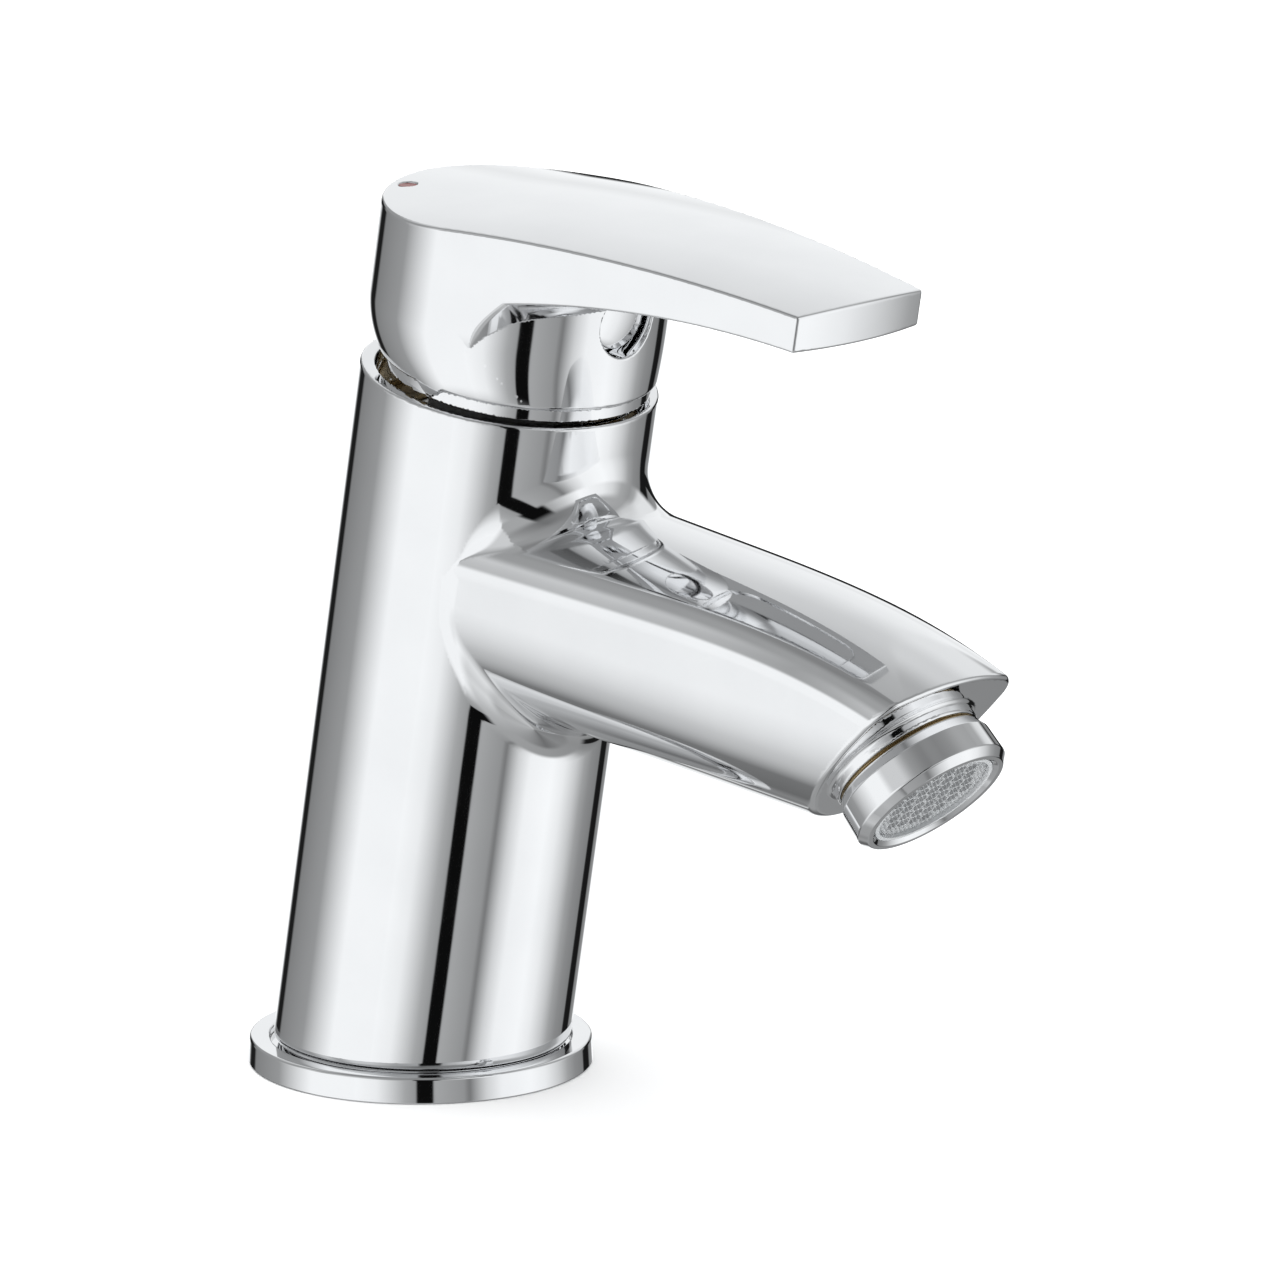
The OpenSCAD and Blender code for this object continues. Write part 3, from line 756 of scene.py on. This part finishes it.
def bump(tree, shader, value, distance, strength=1.0):
    node = tree.nodes.new("ShaderNodeBump")
    node.inputs["Distance"].default_value = distance
    node.inputs["Strength"].default_value = strength
    tree.links.new(value, node.inputs["Height"])
    tree.links.new(node.outputs["Normal"], shader.inputs["Normal"])


def chrome():
    """Mirror chrome: a faint waviness from the polished casting and slightly uneven gloss."""
    material, tree, shader = mix_tree("chrome_plate")
    shader.inputs["Metallic"].default_value = 1.0
    tone = ramp(tree, noise(tree, 90, 4), [(0.3, (0.885, 0.890, 0.900)), (0.7, (0.915, 0.920, 0.928))])
    tree.links.new(tone, shader.inputs["Base Color"])
    tree.links.new(spread(tree, noise(tree, 160, 5), 0.025, 0.055), shader.inputs["Roughness"])
    bump(tree, shader, noise(tree, 55, 2), 0.00001)
    return material


def metal(name, dark, light, roughness, scale, grain):
    """A machined metal with uneven tone and fine tool marks."""
    material, tree, shader = mix_tree(name)
    shader.inputs["Metallic"].default_value = 1.0
    tree.links.new(ramp(tree, noise(tree, scale, 5), [(0.3, dark), (0.7, light)]), shader.inputs["Base Color"])
    tree.links.new(spread(tree, noise(tree, scale * 4), *roughness), shader.inputs["Roughness"])
    bump(tree, shader, noise(tree, scale * 12), grain)
    return material


def moulded(name, dark, light, roughness, scale, grain, sheen=0.5):
    """A moulded plastic, rubber or ceramic: slightly uneven tone and a fine surface grain."""
    material, tree, shader = mix_tree(name)
    shader.inputs["Specular IOR Level"].default_value = sheen
    tree.links.new(ramp(tree, noise(tree, scale, 4), [(0.3, dark), (0.7, light)]), shader.inputs["Base Color"])
    tree.links.new(spread(tree, noise(tree, scale * 3), *roughness), shader.inputs["Roughness"])
    bump(tree, shader, noise(tree, scale * 14), grain)
    return material


CHROME = chrome()
BRASS = metal("raw_brass", (0.38, 0.29, 0.16), (0.50, 0.39, 0.22), (0.30, 0.42), 70, 0.00001)
STEEL = metal("stainless", (0.52, 0.53, 0.54), (0.68, 0.69, 0.70), (0.20, 0.34), 260, 0.00001)
BLACK_RUBBER = moulded(
    "black_rubber", (0.015, 0.015, 0.017), (0.035, 0.035, 0.038), (0.5, 0.7), 300, 0.00003, sheen=0.35)
GASKET = moulded(
    "gasket_rubber", (0.035, 0.035, 0.036), (0.07, 0.07, 0.07), (0.55, 0.75), 240, 0.00003, sheen=0.35)
CERAMIC = moulded("alumina", (0.82, 0.80, 0.75), (0.90, 0.89, 0.85), (0.12, 0.2), 200, 0.000004)
WHITE = moulded("white_acetal", (0.76, 0.76, 0.73), (0.84, 0.84, 0.82), (0.35, 0.45), 180, 0.00001)
GREY = moulded("grey_acetal", (0.34, 0.35, 0.36), (0.42, 0.43, 0.44), (0.35, 0.48), 180, 0.00001)
BLUE = moulded("blue_acetal", (0.07, 0.20, 0.42), (0.10, 0.26, 0.50), (0.35, 0.45), 180, 0.00001)
PTFE = moulded("ptfe", (0.84, 0.84, 0.81), (0.90, 0.90, 0.88), (0.3, 0.4), 160, 0.00001)
AERATOR_GREY = moulded("aerator_grey", (0.46, 0.48, 0.49), (0.56, 0.57, 0.58), (0.12, 0.2), 150, 0.000006)
RED = moulded("red_enamel", (0.10, 0.006, 0.004), (0.17, 0.012, 0.008), (0.2, 0.3), 500, 0.000008)

SLOT_MATERIALS = {
    "raw_brass": BRASS, "stainless": STEEL, "black_rubber": BLACK_RUBBER, "gasket_rubber": GASKET,
    "alumina": CERAMIC, "white_acetal": WHITE, "grey_acetal": GREY, "blue_acetal": BLUE, "ptfe": PTFE,
    "aerator_grey": AERATOR_GREY, "red_enamel": RED, "chrome": CHROME}


def dress(piece, body, slot, material, *replaced):
    """Gives a new piece its finish and its CAD body, and hides the CAD nodes that it stands for."""
    piece.data.materials.clear()
    piece.data.materials.append(material)
    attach(piece, body)
    if replaced:
        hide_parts(*replaced)


# ---------------------------------------------------------------- pieces

def finish_bores(piece, bores, material, nearest=0.12):
    """Leaves the bored faces in another material, as the plating doesn't reach them."""
    mesh = piece.data
    mesh.materials.append(material)
    centres = np.empty(len(mesh.polygons) * 3)
    mesh.polygons.foreach_get("center", centres)
    centres = centres.reshape(-1, 3) / MM
    index = (np.abs(bores(*centres.T)) < nearest).astype(np.int32)
    mesh.polygons.foreach_set("material_index", index)


def build_pieces():
    body = carve("tap_body", body_shape, (-23, -109, 0), (23, 25, 111), 0.4, 190000)
    dress(body, "root", "chrome", CHROME, "body_casting")
    finish_bores(body, body_bores, BRASS)
    lever = carve("lever_blade", lever_shape, (-23, -89, 98), (23, 8, 133), 0.3, 180000)
    dress(lever, "lever", "chrome", CHROME, "lever_handle")
    dress(plinth(), "root", "chrome", CHROME, "base_plinth")
    dress(aerator(), "root", "chrome", CHROME, "aerator_housing")
    dress(outlet_thread(), "root", "raw_brass", BRASS)
    dress(gauze(), "root", "stainless", STEEL, "aerator_gauze")
    dress(cap(), "lever", "chrome", CHROME, "screw_cap")


def dress_cad_nodes():
    """Gives every carried-over CAD node the procedural finish of its slot."""
    slots = {row["node"]: row["material_slot"] for row in frame["record"]["subparts"]}
    for name, node in frame["nodes"].items():
        node.data.materials.clear()
        node.data.materials.append(SLOT_MATERIALS[slots[name]])


# ---------------------------------------------------------------- camera, studio and floor

VIEW_AZIMUTH = math.radians(-46.488)
VIEW_ELEVATION = math.radians(13.569)
VIEW_LENS = 351.87
VIEW_DISTANCE = 1.7712
VIEW_RIGHT = 0.00136
VIEW_UP = 0.0034


def add_camera():
    """A long lens looking at the middle of the tap from its front right, a little above."""
    centre = (CAD_BOX[0] + CAD_BOX[1]) / 2
    back = Vector((
        math.sin(VIEW_AZIMUTH) * math.cos(VIEW_ELEVATION),
        -math.cos(VIEW_AZIMUTH) * math.cos(VIEW_ELEVATION),
        math.sin(VIEW_ELEVATION)))
    right = Vector((math.cos(VIEW_AZIMUTH), math.sin(VIEW_AZIMUTH), 0))
    up = back.cross(right)
    data = bpy.data.cameras.new("camera")
    data.sensor_width = 36
    data.lens = VIEW_LENS
    camera = bpy.data.objects.new("camera", data)
    bpy.context.scene.collection.objects.link(camera)
    camera.location = centre + back * VIEW_DISTANCE + right * VIEW_RIGHT + up * VIEW_UP
    camera.rotation_euler = back.to_track_quat("Z", "Y").to_euler()
    bpy.context.scene.camera = camera
    return back


def grey(level):
    """Linear brightness, slightly cool, of a tone from 0 to 255 on a screen."""
    value = ((level / 255 + 0.055) / 1.055) ** 2.4
    return (value * 0.985, value, value * 1.01)


# Tones round the studio at table height, by azimuth in degrees: a white backdrop behind the tap with a black
# flag either side of it, grey walls brightening to white panels, and a black gap behind the camera
LEVEL = [
    (-180, 248), (-165, 238), (-155, 205), (-146, 166), (-139, 150), (-138, 12), (-127.5, 12),
    (-126.5, 165), (-107, 147), (-103, 118), (-97, 173), (-91, 210), (-80, 243), (-57, 250),
    (-44, 237), (-30, 201), (-20, 160), (-10, 138), (3, 126), (4.5, 24), (16.5, 24),
    (18.5, 124), (28, 146), (29.5, 95), (31.5, 252), (57, 252), (62, 120), (66, 28), (76, 28),
    (80, 126), (115, 150), (146, 246)]
# The same with the black back edge of the table across the backdrop
TABLE_EDGE = [(azimuth, 24 if 16 < azimuth < 64 else tone) for azimuth, tone in LEVEL]
# Bands of the studio by elevation in degrees. The table below is grey, and so is the ceiling but for a panel
# over the backdrop
STUDIO = [
    (-90, -62, [
        (-180, 170), (-150, 178), (-120, 160), (-60, 110), (-20, 135), (20, 128), (70, 153),
        (110, 156), (140, 195), (180, 180)]),
    (-54, -44, [
        (-180, 215), (-150, 182), (-120, 160), (-60, 150), (0, 140), (60, 150), (80, 105),
        (105, 115), (125, 200), (140, 225), (165, 208), (180, 215)]),
    (-36, -9.5, LEVEL),
    (-8.5, -1.5, TABLE_EDGE),
    (-0.5, 9, LEVEL),
    (17, 30, [
        (-180, 205), (-160, 165), (-142, 165), (-140, 12), (-124, 12), (-121, 165), (-108, 200),
        (-90, 250), (-60, 235), (-45, 212), (-30, 166), (-14, 149), (-5, 165), (2, 215), (10, 226),
        (55, 226), (62, 150), (82, 145), (125, 150), (140, 205), (152, 160), (165, 205)]),
    (44, 50, [
        (-180, 165), (-140, 112), (-100, 135), (-50, 168), (-15, 160), (0, 198), (15, 208),
        (55, 212), (85, 195), (100, 150), (140, 156), (165, 160)]),
    (66, 90, [
        (-180, 150), (-100, 130), (-20, 150), (10, 172), (60, 174), (90, 135), (140, 128), (165, 150)])]
# Tones up the backdrop behind the tap, by elevation in degrees: the table with a dark band across it, its black
# back edge, then a white sheet that falls off upwards
UP_BACKDROP = [
    (-90, 150), (-48, 150), (-41, 95), (-34, 100), (-30, 235), (-11, 252), (-8.5, 26), (-1.5, 26),
    (0, 246), (6, 230), (10, 241), (24, 234), (30, 226), (36, 216), (42, 207), (50, 202), (58, 192),
    (66, 178), (80, 167)]
# The backdrop reaches this far either side of straight ahead, in degrees, and is whole within the second angle
BACKDROP_EDGE = (15.5, 13)
STUDIO_STRENGTH = 1.08
PLAIN_STRENGTH = 1.05


def studio_world():
    """Soft studio light all round, whose tone depends on the direction only. The camera sees plain white."""
    world = bpy.data.worlds.new("studio")
    world.use_nodes = True
    bpy.context.scene.world = world
    tree = world.node_tree
    tree.nodes.clear()

    def math_node(kind, a, b=None):
        node = tree.nodes.new("ShaderNodeMath")
        node.operation = kind
        for socket, value in zip(node.inputs, (a, b)):
            if isinstance(value, (int, float)):
                socket.default_value = value
            elif value is not None:
                tree.links.new(value, socket)
        return node.outputs[0]

    def step(value, start, end):
        node = tree.nodes.new("ShaderNodeMapRange")
        node.interpolation_type = "SMOOTHSTEP"
        node.inputs["From Min"].default_value = start
        node.inputs["From Max"].default_value = end
        tree.links.new(value, node.inputs["Value"])
        return node.outputs["Result"]

    def blend(factor, a, b):
        node = tree.nodes.new("ShaderNodeMix")
        node.data_type = "RGBA"
        tree.links.new(factor, node.inputs["Factor"])
        tree.links.new(a, node.inputs[6])
        tree.links.new(b, node.inputs[7])
        return node.outputs[2]

    direction = tree.nodes.new("ShaderNodeSeparateXYZ")
    place = tree.nodes.new("ShaderNodeTexCoord")
    tree.links.new(place.outputs["Generated"], direction.inputs[0])
    x, y, z = direction.outputs
    azimuth = math_node("MULTIPLY_ADD", math_node("ARCTAN2", y, x), 0.5 / math.pi)
    azimuth.node.inputs[2].default_value = 0.5
    level = math_node("SQRT", math_node("ADD", math_node("MULTIPLY", x, x), math_node("MULTIPLY", y, y)))
    elevation = math_node("MULTIPLY_ADD", math_node("ARCTAN2", z, level), 1 / math.pi)
    elevation.node.inputs[2].default_value = 0.5
    ahead = (-math.sin(VIEW_AZIMUTH), math.cos(VIEW_AZIMUTH))
    towards = math_node("ADD", math_node("MULTIPLY", x, ahead[0]), math_node("MULTIPLY", y, ahead[1]))
    towards = math_node("DIVIDE", towards, math_node("MAXIMUM", level, 0.001))
    walls, below = None, 0
    for start, end, tones in STUDIO:
        band = ramp(tree, azimuth, [((a + 180) / 360, grey(tone)) for a, tone in tones])
        if walls:
            band = blend(step(elevation, (below + 90) / 180, (start + 90) / 180), walls, band)
        walls, below = band, end
    backdrop = ramp(tree, elevation, [((e + 90) / 180, grey(tone)) for e, tone in UP_BACKDROP])
    in_view = step(towards, *(math.cos(math.radians(angle)) for angle in BACKDROP_EDGE))
    tone = blend(in_view, walls, backdrop)
    seen = tree.nodes.new("ShaderNodeLightPath").outputs["Is Camera Ray"]
    studio = tree.nodes.new("ShaderNodeBackground")
    tree.links.new(tone, studio.inputs["Color"])
    studio.inputs["Strength"].default_value = STUDIO_STRENGTH
    plain = tree.nodes.new("ShaderNodeBackground")
    plain.inputs["Color"].default_value = (1, 1, 1, 1)
    plain.inputs["Strength"].default_value = PLAIN_STRENGTH
    either = tree.nodes.new("ShaderNodeMixShader")
    tree.links.new(seen, either.inputs[0])
    tree.links.new(studio.outputs[0], either.inputs[1])
    tree.links.new(plain.outputs[0], either.inputs[2])
    output = tree.nodes.new("ShaderNodeOutputWorld")
    tree.links.new(either.outputs[0], output.inputs["Surface"])


def add_floor():
    """A plain pale table. Chrome mirrors the studio's own table tone in its place."""
    size = 3.0
    mesh = bpy.data.meshes.new("floor")
    corners = [(-size, -size, 0), (size, -size, 0), (size, size, 0), (-size, size, 0)]
    mesh.from_pydata(corners, [], [(0, 1, 2, 3)])
    floor = new_object("floor", mesh)
    floor.location.z = CAD_BOX[0].z - 0.00005
    material, tree, shader = mix_tree("floor_paper")
    shader.inputs["Roughness"].default_value = 0.9
    tone = ramp(tree, noise(tree, 3), [(0.3, (0.93, 0.93, 0.93)), (0.7, (0.95, 0.95, 0.95))])
    tree.links.new(tone, shader.inputs["Base Color"])
    mesh.materials.append(material)
    floor.visible_glossy = False


def add_softbox(back):
    """A very large soft light high over the tap, which lifts the floor and the matt pieces."""
    data = bpy.data.lights.new("softbox", "AREA")
    data.shape = "DISK"
    data.size = 5
    data.energy = 190
    light = bpy.data.objects.new("softbox", data)
    bpy.context.scene.collection.objects.link(light)
    light.location = Vector((back.x * 0.4, back.y * 0.4, 3.0))
    light.rotation_euler = light.location.to_track_quat("Z", "Y").to_euler()
    light.visible_glossy = False
    light.visible_camera = False


build_pieces()
dress_cad_nodes()
camera_back = add_camera()
studio_world()
add_floor()
add_softbox(camera_back)
bpy.context.scene.view_settings.view_transform = "Standard"
